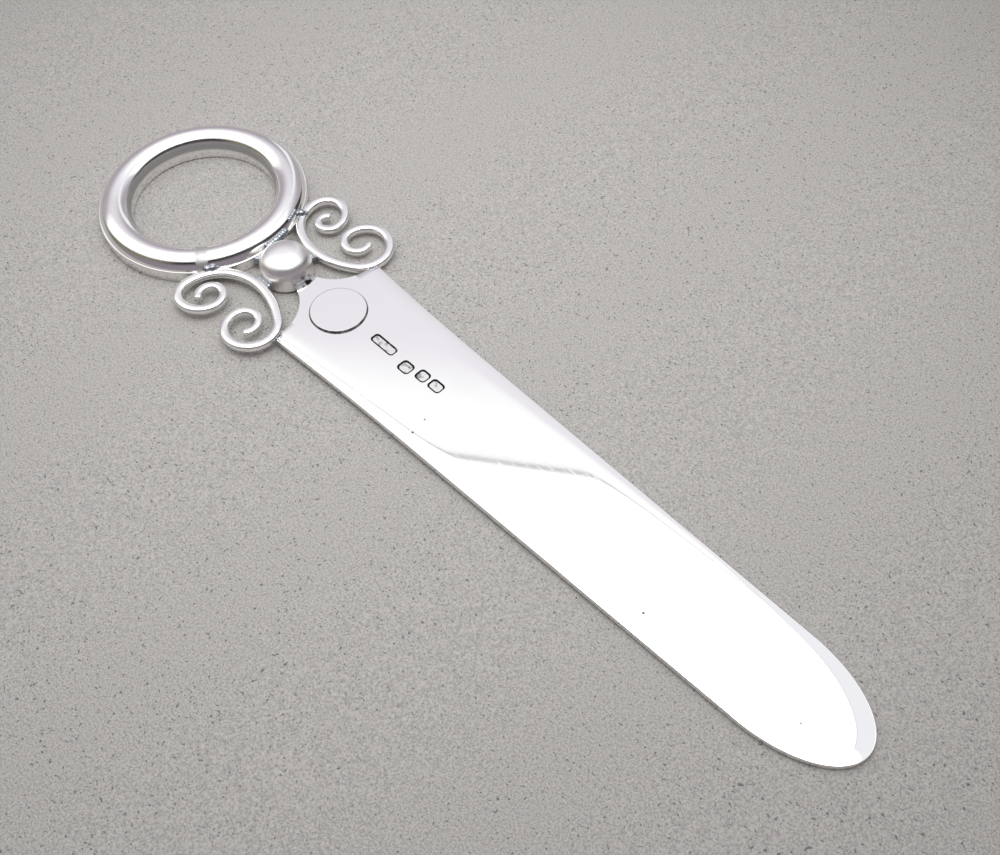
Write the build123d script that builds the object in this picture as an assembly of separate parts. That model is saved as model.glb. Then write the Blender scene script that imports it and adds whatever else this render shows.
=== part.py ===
"""Paper knife: a ring grip, a domed boss, two wire scrolls and a flat blade, soldered together in one plane.

Millimetres. X runs from the ring to the blade's tip, Y across the blade, Z up from the face that it lies on.
The origin is under the middle of the overall length, level with the underside of the ring.
"""
import os
from math import asin, cos, degrees, hypot, radians, sin, sqrt

from build123d import *

# Ring: a flat foot with upright walls and a round top, which leaves a narrow ledge along the outer wall
RING_MEAN_DIAMETER = 26.0
RING_WIDTH = 4.8
RING_HEIGHT = 3.45
RING_WALL_HEIGHT = 1.8
RING_TOP_RADIUS = 2.35
RING_EDGE_ROUND = 0.12

# Boss: a high dome of two arcs on a short round wall, its rim a little above the middle plane of the knife
BOSS_DIAMETER = 7.5
BOSS_WALL_HEIGHT = 1.8
BOSS_DOME_RISE = 2.8
BOSS_EDGE_ROUND = 2.1
BOSS_RIM_LEVEL = 0.9
BOSS_FOOT_ROUND = 0.4
RING_TO_BOSS_GAP = 0.75

# Scrolls: round wire, thickest round the bow, each end a chain of tangent arcs that thins to its tip.
# The first arc of a ring end is worked out, so that the wire sits in a seat filed to fit the ring.
# Each scroll's middle line is at its own level above the middle plane of the knife.
SCROLL_WIRE_DIAMETER = 1.4
SCROLL_CURL_DIAMETER = 1.3
SCROLL_TIP_DIAMETER = 1.1
BOSS_TO_SCROLL_GAP = 0.4
RING_SEAT_DEPTH = 0.5
FIRST_SWEEP = 35.0
SECOND_SWEEP = 55.0
CURL_SWEEP = 90.0
FULL_WIRE_TURN = 40.0
CURL_WIRE_TURN = 160.0
STATION_STEP = 18.0
LEFT_LEVEL = 0.4
LEFT_RING_BEND = 6.65
LEFT_RING_CURLS = (2.77, 3.52, 2.04, 1.73)
LEFT_RING_LAST_SWEEP = 151.0
LEFT_BLADE_BOW = 12.6
LEFT_BLADE_BEND = 3.75
LEFT_BLADE_CURLS = (3.73, 3.32, 2.13, 1.92)
LEFT_BLADE_LAST_SWEEP = 125.0
RIGHT_LEVEL = 0.1
RIGHT_RING_BEND = 5.6
RIGHT_RING_CURLS = (2.69, 3.37, 1.75, 1.29)
RIGHT_RING_LAST_SWEEP = 142.0
RIGHT_BLADE_BOW = 11.55
RIGHT_BLADE_BEND = 4.13
RIGHT_BLADE_CURLS = (4.0, 3.47, 2.23, 1.79)
RIGHT_BLADE_LAST_SWEEP = 122.0

# Blade: flat sheet with a neck between two round cut-outs, flared shoulders and a half-elliptic end
BLADE_THICKNESS = 1.0
BLADE_LENGTH = 96.75
SHOULDER_WIDTH = 18.7
FLARE_END_WIDTH = 16.66
TIP_START_WIDTH = 14.2
SHOULDER_STATION = 5.65
FLARE_LENGTH = 22.7
TIP_LENGTH = 13.4
NECK_WIDTH = 2.6
CUTOUT_RADIUS = 6.7
SHOULDER_LAP = 0.6
BEVEL_WIDTH = 1.0
BEVEL_DEPTH = 0.3

# Plain disc applied to the blade's upper face
DISC_DIAMETER = 8.0
DISC_THICKNESS = 0.3
NECK_TO_DISC_CENTRE = 7.7

# Solder
SOLDER_GAP = 0.1
SOLDER_FILLET = 0.35
WEB_WIDTH = 4.4
WEB_THICKNESS = 1.3
BRIDGE_WIDTH = 3.0
BRIDGE_THICKNESS = 1.1
RING_LUMP_DIAMETER = 2.2
RING_LUMP_INSET = 0.5
RING_LUMP_LIFT = 0.9
SHOULDER_LUMP_DIAMETER = 1.7
SHOULDER_LUMP_INSET = 0.4
SHOULDER_LUMP_RISE = 0.2

# How far a cutting shape passes the sheet that it cuts
CUT_MARGIN = 1.0

# Places that follow from the sizes. The middle plane of the knife is where the ring's round top starts.
ring_mean_radius = RING_MEAN_DIAMETER / 2
ring_outer_radius = ring_mean_radius + RING_WIDTH / 2
ring_inner_radius = ring_mean_radius - RING_WIDTH / 2
boss_radius = BOSS_DIAMETER / 2
wire_radius = SCROLL_WIRE_DIAMETER / 2
middle_z = RING_HEIGHT - RING_TOP_RADIUS
blade_top = middle_z + BLADE_THICKNESS / 2
blade_bottom = middle_z - BLADE_THICKNESS / 2
boss_rim = middle_z + BOSS_RIM_LEVEL
boss_from_ring = ring_outer_radius + RING_TO_BOSS_GAP + boss_radius
neck_from_ring = boss_from_ring + boss_radius + SOLDER_GAP
overall_length = ring_outer_radius + neck_from_ring + BLADE_LENGTH
ring_x = ring_outer_radius - overall_length / 2
boss_x = ring_x + boss_from_ring
neck_x = ring_x + neck_from_ring
tip_x = overall_length / 2
disc_x = neck_x + NECK_TO_DISC_CENTRE
scroll_base_y = boss_radius + BOSS_TO_SCROLL_GAP + wire_radius


class Scroll:
    """One C-scroll's middle line, with side +1 or -1 for the half of the knife that it is on."""

    def __init__(self, side, level, ring_bend, ring_curls, ring_last, blade_bow, blade_bend, blade_curls, blade_last):
        self.side = side
        self.z = middle_z + level
        ring_bow = self.bow_onto_ring(ring_bend)
        curl_sweeps = [CURL_SWEEP] * (len(ring_curls) - 1)
        self.ring_arcs = list(zip((ring_bow, ring_bend) + ring_curls,
                                  [FIRST_SWEEP, SECOND_SWEEP] + curl_sweeps + [ring_last]))
        self.blade_arcs = list(zip((blade_bow, blade_bend) + blade_curls,
                                   [FIRST_SWEEP, SECOND_SWEEP] + curl_sweeps + [blade_last]))

    def bow_onto_ring(self, bend):
        """Radius of the first arc, such that the bend that follows it just reaches the seat in the ring."""
        turn = radians(FIRST_SWEEP)
        rise = 1 - cos(turn)
        bend_y = scroll_base_y + bend
        reach = ring_outer_radius + wire_radius - RING_SEAT_DEPTH + bend
        slope = boss_from_ring * sin(turn) - bend_y * rise
        excess = boss_from_ring ** 2 + bend_y ** 2 - reach ** 2
        return bend + (slope - sqrt(slope ** 2 - 2 * rise * excess)) / (2 * rise)

    def stations(self, arcs, along):
        """Points on one end of the scroll, as (x, y, turn so far), from the boss to the end of the curl."""
        x, y, turn = boss_x, scroll_base_y, 0.0
        points = [(x, y, turn)]
        for radius, sweep in arcs:
            steps = max(1, round(sweep / STATION_STEP))
            for step in range(1, steps + 1):
                a = radians(turn)
                b = radians(turn + sweep * step / steps)
                points.append((x + along * radius * (sin(b) - sin(a)), y + radius * (cos(a) - cos(b)),
                               turn + sweep * step / steps))
            x, y, turn = points[-1]
        return points

    def wire_diameter(self, turn, last_turn):
        """The wire is full round its bow, thins into the curl, and thins again to its tip."""
        if turn <= FULL_WIRE_TURN:
            return SCROLL_WIRE_DIAMETER
        if turn <= CURL_WIRE_TURN:
            share = (turn - FULL_WIRE_TURN) / (CURL_WIRE_TURN - FULL_WIRE_TURN)
            return SCROLL_WIRE_DIAMETER + share * (SCROLL_CURL_DIAMETER - SCROLL_WIRE_DIAMETER)
        share = (turn - CURL_WIRE_TURN) / (last_turn - CURL_WIRE_TURN)
        return SCROLL_CURL_DIAMETER + share * (SCROLL_TIP_DIAMETER - SCROLL_CURL_DIAMETER)

    def section(self, x, y, turn, along, last_turn):
        heading = (along * cos(radians(turn)), self.side * sin(radians(turn)), 0)
        if along < 0:
            heading = (-heading[0], -heading[1], 0)
        plane = Plane(origin=(x, self.side * y, self.z), z_dir=heading, x_dir=(0, 0, 1))
        return plane * Circle(self.wire_diameter(turn, last_turn) / 2)

    def wire(self):
        sections = []
        ring_end = self.stations(self.ring_arcs, -1)
        blade_end = self.stations(self.blade_arcs, 1)
        for x, y, turn in reversed(ring_end[1:]):
            sections.append(self.section(x, y, turn, -1, ring_end[-1][2]))
        for x, y, turn in blade_end:
            sections.append(self.section(x, y, turn, 1, blade_end[-1][2]))
        return loft(sections)

    def ring_contact(self):
        """Point in plan where a lump of solder lies on the ring, inward of the nearest place of the wire."""
        bow, bend = self.ring_arcs[0][0], self.ring_arcs[1][0]
        turn = radians(FIRST_SWEEP)
        x = boss_from_ring - (bow - bend) * sin(turn)
        y = scroll_base_y + bow - (bow - bend) * cos(turn)
        share = (ring_outer_radius - RING_LUMP_INSET) / hypot(x, y)
        return ring_x + x * share, self.side * y * share

    def blade_seats(self):
        """Centres and radii of the round seats that the blade's shoulder is filed to."""
        (bow, _), (bend, _), (curl, _) = self.blade_arcs[:3]
        turn = radians(FIRST_SWEEP)
        bend_x = boss_x + (bow - bend) * sin(turn)
        bend_y = scroll_base_y + bow - (bow - bend) * cos(turn)
        room = wire_radius + SOLDER_GAP
        return [(bend_x, self.side * bend_y, bend + room),
                (bend_x + bend - curl, self.side * bend_y, curl + room)]

    def cutout(self):
        """Centre of the round cut-out in the blade beside this scroll."""
        x, _, radius = self.blade_seats()[0]
        return x + radius - SOLDER_GAP - SHOULDER_LAP - CUTOUT_RADIUS, self.side * (NECK_WIDTH / 2 + CUTOUT_RADIUS)

    def shoulder_contact(self):
        """Point in plan for the solder at the blade's shoulder, a little inside the seat of the wire."""
        x, y, radius = self.blade_seats()[0]
        contact_y = self.side * (NECK_WIDTH / 2 + CUTOUT_RADIUS + SHOULDER_WIDTH / 2) / 2
        reach = radius + SHOULDER_LUMP_INSET
        return x + sqrt(reach ** 2 - (contact_y - y) ** 2), contact_y


def make_ring(extra=0.0):
    """The ring turned from its section, grown by an extra all round where it is used to cut a seat."""
    inner = ring_inner_radius - extra
    outer = ring_outer_radius + extra
    wall = RING_WALL_HEIGHT + extra
    corner = (outer - RING_EDGE_ROUND, wall - RING_EDGE_ROUND)
    top_radius = RING_TOP_RADIUS + extra
    top_centre = (ring_inner_radius + RING_TOP_RADIUS, middle_z)
    start = asin((wall - middle_z) / top_radius)
    ledge = top_centre[0] + top_radius * cos(start)
    outline = [Line((inner, middle_z), (inner, -extra)),
               Line((inner, -extra), (outer, -extra)),
               Line((outer, -extra), (outer, corner[1])),
               CenterArc(corner, RING_EDGE_ROUND, 0, 90),
               Line((corner[0], wall), (ledge, wall)),
               CenterArc(top_centre, top_radius, degrees(start), 180 - degrees(start))]
    return Pos(ring_x, 0, 0) * revolve(Plane.XZ * make_face(outline), Axis.Z)


def make_boss():
    """A round wall under a dome whose edge is rolled over, turned about its own axis."""
    foot = boss_rim - BOSS_WALL_HEIGHT
    top = boss_rim + BOSS_DOME_RISE
    edge_centre = (boss_radius - BOSS_EDGE_ROUND, boss_rim)
    dome_radius = ((edge_centre[0] ** 2 + BOSS_DOME_RISE ** 2 - BOSS_EDGE_ROUND ** 2)
                   / (2 * (BOSS_DOME_RISE - BOSS_EDGE_ROUND)))
    lean = degrees(asin(edge_centre[0] / (dome_radius - BOSS_EDGE_ROUND)))
    foot_centre = (boss_radius - BOSS_FOOT_ROUND, foot + BOSS_FOOT_ROUND)
    outline = [Line((0, top), (0, foot)),
               Line((0, foot), (foot_centre[0], foot)),
               CenterArc(foot_centre, BOSS_FOOT_ROUND, -90, 90),
               Line((boss_radius, foot_centre[1]), (boss_radius, boss_rim)),
               CenterArc(edge_centre, BOSS_EDGE_ROUND, 0, 90 - lean),
               CenterArc((0, top - dome_radius), dome_radius, 90 - lean, lean)]
    return Pos(boss_x, 0, 0) * revolve(Plane.XZ * make_face(outline), Axis.Z)


def blade_sheet():
    """The blade before its neck is cut: one half drawn and mirrored, with its long edges and end bevelled."""
    shoulder = (neck_x + SHOULDER_STATION, SHOULDER_WIDTH / 2)
    flare_end = (shoulder[0] + FLARE_LENGTH, FLARE_END_WIDTH / 2)
    tip_start = (tip_x - TIP_LENGTH, TIP_START_WIDTH / 2)
    towards_shoulder = (flare_end[0] - tip_start[0], flare_end[1] - tip_start[1])
    half = make_face([Line((boss_x, 0), (tip_x, 0)),
                      EllipticalCenterArc((tip_start[0], 0), TIP_LENGTH, tip_start[1], arc_size=90),
                      Line(tip_start, flare_end),
                      TangentArc(flare_end, shoulder, tangent=towards_shoulder),
                      Line(shoulder, (boss_x, shoulder[1])),
                      Line((boss_x, shoulder[1]), (boss_x, 0))])
    sheet = extrude(Pos(0, 0, blade_bottom) * (half + mirror(half, Plane.XZ)), BLADE_THICKNESS)
    for end in (0, -1):
        face = sheet.faces().sort_by(Axis.Z)[end]
        rim = face.edges().filter_by(lambda edge: edge.center().X > neck_x)
        sheet = chamfer(rim, length=BEVEL_WIDTH, length2=BEVEL_DEPTH, reference=face)
    return sheet


def upright(x, y, radius, bottom, top):
    """A round pillar from one level to another, used to cut seats and to fill corners with solder."""
    return Pos(x, y, (bottom + top) / 2) * Cylinder(radius, top - bottom)


def make_blade(scrolls):
    sheet = blade_sheet()
    cuts = [(boss_x, 0, boss_radius + SOLDER_GAP)]
    for scroll in scrolls:
        cuts += [scroll.cutout() + (CUTOUT_RADIUS,)] + scroll.blade_seats()
    for x, y, radius in cuts:
        sheet -= upright(x, y, radius, blade_bottom - CUT_MARGIN, blade_top + CUT_MARGIN)
    return sheet


def make_disc():
    return upright(disc_x, 0, DISC_DIAMETER / 2, blade_top, blade_top + DISC_THICKNESS)


def solder_web(ring, boss):
    """Fills the narrow place between the ring and the boss."""
    start = ring_x + (ring_mean_radius + ring_outer_radius) / 2
    web = Pos((start + boss_x) / 2, 0, middle_z) * Box(boss_x - start, WEB_WIDTH, WEB_THICKNESS)
    return web - ring - boss


def solder_bridge(scroll, boss, wire):
    """Fills the place between the boss and the bow of a scroll."""
    start = boss_radius / 2
    bridge = Box(BRIDGE_WIDTH, scroll_base_y - start, BRIDGE_THICKNESS)
    return Pos(boss_x, scroll.side * (start + scroll_base_y) / 2, scroll.z) * bridge - boss - wire


def solder_ring_lump(scroll, ring, wire):
    """Lump on the ring's shoulder, above the seat of a scroll."""
    x, y = scroll.ring_contact()
    return Pos(x, y, scroll.z + RING_LUMP_LIFT) * Sphere(RING_LUMP_DIAMETER / 2) - ring - wire


def solder_shoulder_lump(scroll, blade, wire):
    """Lump between a scroll and a shoulder of the blade, level with the blade's underside."""
    x, y = scroll.shoulder_contact()
    lump = upright(x, y, SHOULDER_LUMP_DIAMETER / 2, blade_bottom, blade_top + SHOULDER_LUMP_RISE)
    return lump - wire - blade


def solder_neck_bead():
    """Bead in the corner between the boss and the neck, turned about the boss."""
    joint = boss_radius + SOLDER_GAP
    section = make_face(Polyline((boss_radius, blade_bottom), (joint, blade_bottom), (joint, blade_top),
                                 (joint + SOLDER_FILLET, blade_top), (boss_radius, blade_top + SOLDER_FILLET),
                                 (boss_radius, blade_bottom)))
    half_turn = degrees(asin(NECK_WIDTH / 2 / (joint + SOLDER_FILLET)))
    bead = revolve(Plane.XZ * section, Axis.Z, revolution_arc=2 * half_turn)
    return Pos(boss_x, 0, 0) * Rot(0, 0, -half_turn) * bead


os.makedirs("parts", exist_ok=True)
left = Scroll(-1, LEFT_LEVEL, LEFT_RING_BEND, LEFT_RING_CURLS, LEFT_RING_LAST_SWEEP,
              LEFT_BLADE_BOW, LEFT_BLADE_BEND, LEFT_BLADE_CURLS, LEFT_BLADE_LAST_SWEEP)
right = Scroll(1, RIGHT_LEVEL, RIGHT_RING_BEND, RIGHT_RING_CURLS, RIGHT_RING_LAST_SWEEP,
               RIGHT_BLADE_BOW, RIGHT_BLADE_BEND, RIGHT_BLADE_CURLS, RIGHT_BLADE_LAST_SWEEP)
ring = make_ring()
boss = make_boss()
blade = make_blade((left, right))
nodes = {"ring": ring, "boss": boss, "blade": blade, "name_disc": make_disc(),
         "solder_ring_boss": solder_web(ring, boss), "solder_boss_neck": solder_neck_bead()}
for name, scroll in (("left", left), ("right", right)):
    wire = scroll.wire() - make_ring(SOLDER_GAP)
    nodes["scroll_" + name] = wire
    nodes["solder_ring_scroll_" + name] = solder_ring_lump(scroll, ring, wire)
    nodes["solder_boss_scroll_" + name] = solder_bridge(scroll, boss, wire)
    nodes["solder_shoulder_" + name] = solder_shoulder_lump(scroll, blade, wire)
for name, solid in nodes.items():
    export_step(solid, f"parts/{name}.step")
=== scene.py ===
"""Letter opener in polished silver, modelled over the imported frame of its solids, in a pale studio.

Metres, in the frame's own axes: X from the ring to the blade's tip, Y across the blade, Z up.
"""
from math import asin, cos, degrees, pi, radians, sin

import bmesh
import bpy
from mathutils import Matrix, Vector


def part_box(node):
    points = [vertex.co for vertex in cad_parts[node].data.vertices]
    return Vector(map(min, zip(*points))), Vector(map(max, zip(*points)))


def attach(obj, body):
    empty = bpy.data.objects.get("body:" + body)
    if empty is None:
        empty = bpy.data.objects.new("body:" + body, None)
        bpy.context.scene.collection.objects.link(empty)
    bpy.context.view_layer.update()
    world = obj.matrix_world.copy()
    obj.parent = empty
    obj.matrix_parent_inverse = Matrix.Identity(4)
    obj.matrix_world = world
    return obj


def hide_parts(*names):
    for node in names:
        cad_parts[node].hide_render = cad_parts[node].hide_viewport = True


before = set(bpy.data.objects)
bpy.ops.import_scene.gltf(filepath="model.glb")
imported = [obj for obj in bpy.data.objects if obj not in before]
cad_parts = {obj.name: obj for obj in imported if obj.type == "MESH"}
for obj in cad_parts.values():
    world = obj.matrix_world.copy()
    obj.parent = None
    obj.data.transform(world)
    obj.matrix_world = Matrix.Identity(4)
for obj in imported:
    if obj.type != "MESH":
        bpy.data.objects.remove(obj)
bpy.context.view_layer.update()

bl_info = {
    "name": "Letter opener",
    "version": (1, 0, 0),
    "blender": (4, 5, 0),
    "location": "View3D > Sidebar > Opener",
    "description": "Models a silver letter opener with a ring grip, wire scrolls and a flat blade",
    "category": "Add Mesh",
}

MM = 0.001

# Places read from the frame
RING_LOW, RING_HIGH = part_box("ring")
BOSS_LOW, BOSS_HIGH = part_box("boss")
BLADE_LOW, BLADE_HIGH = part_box("blade")
DISC_LOW, DISC_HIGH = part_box("name_disc")
RING_CENTRE = (RING_LOW + RING_HIGH) / 2
BOSS_CENTRE = (BOSS_LOW + BOSS_HIGH) / 2
DISC_CENTRE = (DISC_LOW + DISC_HIGH) / 2
MIDDLE_LEVEL = (BLADE_LOW.z + BLADE_HIGH.z) / 2
LEFT_LEVEL = sum(corner.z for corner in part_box("scroll_left")) / 2
RIGHT_LEVEL = sum(corner.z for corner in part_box("scroll_right")) / 2

# Blank punch marks along the blade's axis, as (x, y, length, width) in millimetres
MARKS = ((-12.1, 0.5, 4.5, 1.6), (-7.1, 0.0, 2.2, 2.0), (-4.4, 0.6, 2.0, 1.9), (-1.9, 0.7, 2.3, 1.8))

# Soot on the blade, and painted shade round the disc's foot and round the boss's seat: each pair runs from
# none to full, and the marks' are depths below its upper face
SOOT_AND_SHADE_LEVELS = (MIDDLE_LEVEL, MIDDLE_LEVEL + 0.2 * MM)
MARK_TOPS = (0.008 * MM, 0.02 * MM)
MARK_FEET = (0.118 * MM, 0.11 * MM)
MARKS_CENTRE = -7 * MM
MARKS_REACH = (9 * MM, 8.5 * MM)
MARKS_HALF_WIDTH = (4 * MM, 3.5 * MM)
DISC_SHADE_REACH = (0.15 * MM, 0.06 * MM)
SEAT_SHADE_RADIUS = (BOSS_HIGH.x - BOSS_LOW.x) / 2 + 0.1 * MM
SEAT_SHADE_REACH = (1.1 * MM, 0.9 * MM)

# The ring's joint, by its bearing from the ring's centre, and the ring's dull inside, also painted darker as
# shade, by levels and reach
JOINT_BEARING = radians(-36)
JOINT_HALF_WIDTH = (1.0 * MM, 0.7 * MM)
INSIDE_FOOT = (1.2 * MM, 1.7 * MM)
INSIDE_TOP = (2.7 * MM, 2.3 * MM)
INSIDE_REACH = (13 * MM, 12 * MM)

# How much tarnish the worn pieces and the blade have
WORN_STAIN = 0.3
BLADE_STAIN = 0.06

# Scales of the noises in the metal, per metre
HAZE_SCALE = 260
GRAIN_SCALE = 2600
SPECK_SCALE = 240
CHANCE_SCALE = 330
PATCH_SCALE = 1500
BLOT_SCALE = 1100
JOINT_SCALE = 900
LUMP_SCALE = 1400
PIT_SCALE = 1900

# Sets of scratches, as (direction in degrees, scale), and how many times finer they are across than along
SCRATCHES = ((38, 190), (-52, 160), (8, 230))
SCRATCH_STRETCH = (1, 14, 14)

# Depths of the bumps in silver and solder, and the strength of the solder's
SILVER_BUMP = 0.004 * MM
SOLDER_BUMP = 0.08 * MM
SOLDER_BUMP_STRENGTH = 0.5

# Steps of round shapes, and the angle up to which edges are shaded smooth
TURN_STEPS = 128
RING_STEPS = 288
RING_FOOT_STEPS = 3
RING_EDGE_STEPS = 6
RING_TOP_STEPS = 72
PILLAR_STEPS = 160
PILLAR_HEIGHT = 6 * MM
SMOOTH_ANGLE = radians(40)

# Solder beads: fineness of the mesh, smoothing, and the size and depth of the pits
BEAD_VOXEL = 0.06 * MM
BEAD_SMOOTHING = {"factor": 0.5, "iterations": 6}
PIT_SIZE = 0.45 * MM
PIT_DEPTH = 0.1 * MM

# Arcs of the scrolls from the boss outwards, as (radius in millimetres, sweep in degrees)
LEFT_RING_END = ((8.49, 35), (6.65, 55), (2.77, 90), (3.52, 90), (2.04, 90), (1.73, 151))
LEFT_BLADE_END = ((12.6, 35), (3.75, 55), (3.73, 90), (3.32, 90), (2.13, 90), (1.92, 125))
RIGHT_RING_END = ((8.71, 35), (5.6, 55), (2.69, 90), (3.37, 90), (1.75, 90), (1.29, 142))
RIGHT_BLADE_END = ((11.55, 35), (4.13, 55), (4.0, 90), (3.47, 90), (2.23, 90), (1.79, 122))


def length(name, description, default):
    return bpy.props.FloatProperty(name=name, description=description, default=default, min=0,
                                   unit="LENGTH")


def share(name, description, default):
    return bpy.props.FloatProperty(name=name, description=description, default=default, min=0,
                                   subtype="FACTOR")


def colour(name, description, default):
    return bpy.props.FloatVectorProperty(name=name, description=description, default=default + (1,),
                                         min=0, max=1, size=4, subtype="COLOR")


class OpenerSizes(bpy.types.PropertyGroup):
    """Sizes of the silver pieces."""

    ring_diameter: length("Ring", "Outer diameter of the ring", RING_HIGH.x - RING_LOW.x)
    ring_width: length("Ring width", "Width of the ring's section", 4.8 * MM)
    ring_wall: length("Ring wall", "Height of the ring's outer wall, up to its ledge", 1.8 * MM)
    ring_top: length("Ring top", "Radius of the ring's round top", 2.35 * MM)
    ring_edge: length("Ring edge", "Radius of the edge over the ring's outer wall", 0.12 * MM)
    boss_diameter: length("Boss", "Diameter of the boss", BOSS_HIGH.x - BOSS_LOW.x)
    boss_dome: length("Dome", "Rise of the boss above its wall", 2.8 * MM)
    boss_foot: length("Boss foot", "Radius of the boss's lower edge", 0.4 * MM)
    wire_diameter: length("Wire", "Diameter of the scrolls' wire round the bow", 1.4 * MM)
    curl_diameter: length("Curl wire", "Diameter of the wire in the curls", 1.3 * MM)
    tip_diameter: length("Wire tip", "Diameter of the wire at its ends", 1.1 * MM)
    scroll_gap: length("Scroll gap", "Gap between the boss and the scrolls", 0.4 * MM)
    solder_gap: length("Solder gap", "Gap that solder fills between blade and wire", 0.1 * MM)
    shoulder_width: length("Shoulders", "Width of the blade across its shoulders", 18.7 * MM)
    flare_width: length("Flare", "Width of the blade where its flare ends", 16.66 * MM)
    tip_width: length("Tip", "Width of the blade where its round end starts", 14.2 * MM)
    shoulder_station: length("Shoulder station", "From the neck's end to the shoulders", 5.65 * MM)
    flare_length: length("Flare length", "Length of the flare", 22.7 * MM)
    tip_length: length("Tip length", "Length of the round end", 13.4 * MM)
    neck_width: length("Neck", "Width of the neck between the cut-outs", 2.6 * MM)
    cutout_radius: length("Cut-outs", "Radius of the round cut-outs beside the neck", 6.7 * MM)
    shoulder_lap: length("Shoulder lap", "How far the wire stands into the cut-outs", 0.6 * MM)
    edge_roll: length("Edge roll", "How far the blade's faces fall away at its edge", 0.08 * MM)
    roll_width: length("Roll width", "Width of the stretch that falls away", 3.4 * MM)
    edge_round: length("Edge round", "Radius of the blade's worn edge", 0.1 * MM)
    disc_edge: length("Disc edge", "Radius of the disc's worn edge", 0.1 * MM)
    mark_depth: length("Mark depth", "Depth of the blank punch marks", 0.12 * MM)
    mark_slope: length("Mark slope", "Width of the marks' sides, half of it below the face", 0.6 * MM)


class OpenerFinish(bpy.types.PropertyGroup):
    """Colours and wear of the metal."""

    silver: colour("Silver", "Polished silver", (0.95, 0.94, 0.925))
    tarnish: colour("Tarnish", "Thin warm tarnish", (0.62, 0.57, 0.5))
    # Soot also colours the painted shade round the disc's foot, round the boss's seat and on the ring's
    # inside
    soot: colour("Soot", "Dark oxide in the corners and marks", (0.05, 0.047, 0.05))
    solder: colour("Solder", "Grey silver solder", (0.4, 0.43, 0.47))
    polish: share("Polish", "Roughness of the blade's polished faces", 0.02)
    worn: share("Worn polish", "Roughness of the ring and wires", 0.12)
    dome: share("Dome polish", "Roughness of the boss", 0.3)
    wear: share("Wear", "Strength of the fine scratches", 0.1)


class OpenerStage(bpy.types.PropertyGroup):
    """Floor, light and camera."""

    floor: colour("Floor", "Pale floor", (0.625, 0.602, 0.57))
    fleck: colour("Fleck", "Darker flecks in the floor", (0.33, 0.322, 0.312))
    dot: colour("Dot", "Small dark dots in the floor", (0.13, 0.127, 0.125))
    overhead: share("Overhead", "Brightness of the white tent above", 1.25)
    key: share("Key", "Power of the soft key light", 0.86)
    camera_place: bpy.props.FloatVectorProperty(
        name="Camera", description="Place of the camera", size=3, subtype="TRANSLATION",
        default=(0.078604, -0.061057, 0.132318))
    camera_turn: bpy.props.FloatVectorProperty(
        name="Camera turn", description="Rotation of the camera", size=3, subtype="EULER",
        default=tuple(map(radians, (35.7067, 1.3352, 46.0292))))
    lens: bpy.props.FloatProperty(
        name="Lens", description="Focal length of the camera in millimetres", default=45.281)


class Socket:
    """A shader socket in a graph; the operators on it add Math nodes."""

    def __init__(self, graph, socket):
        self.graph = graph
        self.socket = socket

    def math(self, operation, *values):
        return self.graph.node("ShaderNodeMath", {"operation": operation}, dict(enumerate(values)))

    def __add__(self, other):
        return self.math("ADD", self, other)

    def __sub__(self, other):
        return self.math("SUBTRACT", self, other)

    def __mul__(self, other):
        return self.math("MULTIPLY", self, other)

    def __truediv__(self, other):
        return self.math("DIVIDE", self, other)

    def __pow__(self, other):
        return self.math("POWER", self, other)

    def __radd__(self, other):
        return self.math("ADD", other, self)

    def __rsub__(self, other):
        return self.math("SUBTRACT", other, self)

    def __rmul__(self, other):
        return self.math("MULTIPLY", other, self)

    def __rtruediv__(self, other):
        return self.math("DIVIDE", other, self)

    def __abs__(self):
        return self.math("ABSOLUTE", self)

    def ramp(self, start, end):
        """0 before start, 1 after end and a smooth rise between them; start may be the larger."""
        settings = {"interpolation_type": "SMOOTHSTEP"}
        values = {"Value": self, "From Min": start, "From Max": end}
        return self.graph.node("ShaderNodeMapRange", settings, values)


class Graph:
    """The node tree of a material or a world."""

    def __init__(self, tree):
        self.tree = tree
        tree.nodes.clear()

    def node(self, kind, settings=None, inputs=None, output=0):
        """Adds a node, sets it, gives its sockets their values or links, and returns one of its outputs."""
        node = self.tree.nodes.new(kind)
        for name, value in (settings or {}).items():
            setattr(node, name, value)
        for name, value in (inputs or {}).items():
            if isinstance(value, Socket):
                self.tree.links.new(value.socket, node.inputs[name])
            else:
                node.inputs[name].default_value = value
        return Socket(self, node.outputs[output])

    def place(self, turn=(0, 0, 0), stretch=(1, 1, 1)):
        """Object coordinates, turned and stretched."""
        coordinates = self.node("ShaderNodeTexCoord", output="Object")
        return self.node("ShaderNodeMapping", {},
                         {"Vector": coordinates, "Rotation": turn, "Scale": stretch})

    def noise(self, place, scale, detail=2.0, roughness=0.5):
        return self.node("ShaderNodeTexNoise", {},
                         {"Vector": place, "Scale": scale, "Detail": detail, "Roughness": roughness})

    def cells(self, place, scale):
        """Distance from the nearest of many scattered points."""
        return self.node("ShaderNodeTexVoronoi", {}, {"Vector": place, "Scale": scale})

    def mix(self, factor, first, second):
        return self.node("ShaderNodeMix", {"data_type": "RGBA"}, {0: factor, 6: first, 7: second}, output=2)

    def bump(self, height, depth, strength):
        return self.node("ShaderNodeBump", {}, {"Height": height, "Distance": depth, "Strength": strength})

    def axes(self, vector):
        """The X, Y and Z of a vector."""
        split = self.node("ShaderNodeSeparateXYZ", {}, {"Vector": vector})
        outputs = split.socket.node.outputs
        return [Socket(self, outputs[axis]) for axis in range(3)]

    def surface(self, shader, kind="ShaderNodeOutputMaterial"):
        """Ends the graph with its output node."""
        output = self.tree.nodes.new(kind)
        self.tree.links.new(shader.socket, output.inputs["Surface"])


def new_material(name):
    material = bpy.data.materials.new(name)
    material.use_nodes = True
    return material, Graph(material.node_tree)


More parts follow.
